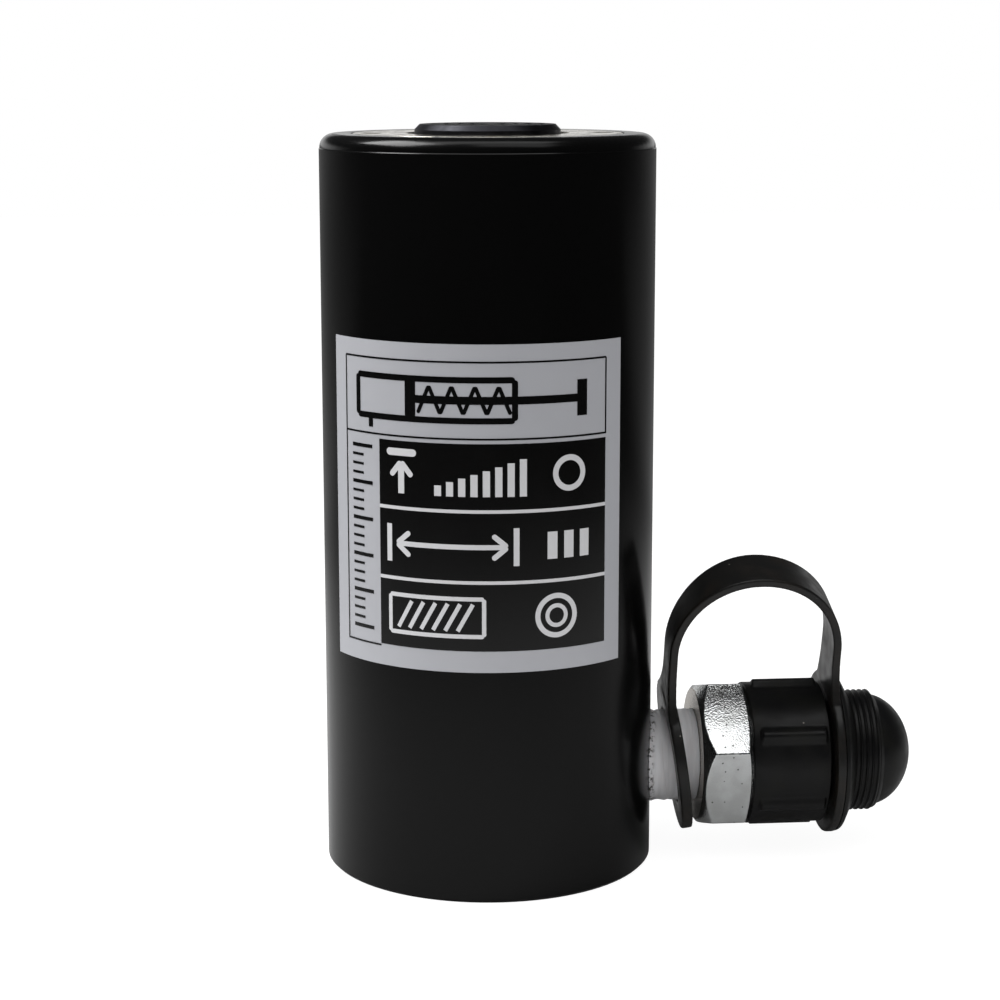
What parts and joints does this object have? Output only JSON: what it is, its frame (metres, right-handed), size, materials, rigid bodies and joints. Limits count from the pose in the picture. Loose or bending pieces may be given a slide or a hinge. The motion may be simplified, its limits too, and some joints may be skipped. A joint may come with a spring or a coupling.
{
  "type": "single acting hydraulic cylinder",
  "caption": "Short round aluminium hydraulic cylinder with a spring-returned plunger, grooved saddle and a capped side coupler.",
  "frame": {"origin": "centre of the barrel's flat base", "axes": "+Z along the barrel towards the saddle, +X along the side coupler, -Y towards the label side"},
  "size_m": [0.1196, 0.0656, 0.1467],
  "materials": {
    "anodised_black": "black anodised, semi-gloss",
    "gland_steel": "turned, passivated",
    "bearing_bronze": "turned",
    "chromed_steel": "ground and hard chromed",
    "blackened_steel": "oil blackened",
    "zinc_steel": "bright zinc plated",
    "spring_steel": "oil tempered wire",
    "seal_rubber": "matte",
    "seal_plastic": "satin",
    "tape_white": "soft matte film",
    "label_film": "satin silver film with black fields",
    "cap_plastic": "moulded, satin",
    "strap_rubber": "moulded, matte"
  },
  "bodies": {
    "barrel": {"cylinder_body": "anodised_black", "gland_nut": "gland_steel", "rod_bearing": "bearing_bronze", "rod_wiper": "seal_rubber", "spring_washer_upper": "spring_steel", "return_spring": "spring_steel", "label_plate": "label_film", "coupler_body": "zinc_steel", "thread_tape": "tape_white", "valve_cage": "zinc_steel", "valve_snap_ring": "spring_steel", "valve_spring": "spring_steel", "coupler_seal": "seal_rubber"},
    "plunger": {"plunger": "chromed_steel", "saddle": "blackened_steel", "saddle_o_ring": "seal_rubber", "piston_seal": "seal_rubber", "backup_ring": "seal_plastic", "piston_wear_ring": "seal_plastic", "spring_washer_lower": "spring_steel"},
    "valve": {"valve_ball": "chromed_steel"},
    "strap": {"cap_strap": "strap_rubber"},
    "cap": {"dust_cap": "cap_plastic"}
  },
  "joints": [
    {"name": "plunger_slide", "type": "slide", "parent": "barrel", "child": "plunger", "axis": [0, 0, 1], "range_m": [0, 0.05], "stiffness_N_per_m": 6900, "springref_m": -0.02, "deforming": ["return_spring"]},
    {"name": "valve_slide", "type": "slide", "parent": "barrel", "child": "valve", "axis": [-1, 0, 0], "range_m": [0, 0.0025], "stiffness_N_per_m": 600, "springref_m": -0.003, "deforming": ["valve_spring"]},
    {"name": "cap_slide", "type": "slide", "parent": "barrel", "child": "strap", "axis": [1, 0, 0], "range_m": [0, 0.0152], "deforming": ["cap_strap"]},
    {"name": "cap_turn", "type": "hinge", "parent": "strap", "child": "cap", "pos_m": [0.06, 0, 0.019], "axis": [1, 0, 0], "range_deg": [0, 3600]}
  ],
  "couplings": [
    {"joint": "cap_slide", "follows": "cap_turn", "m_per_rad": 0.00023873}
  ]
}
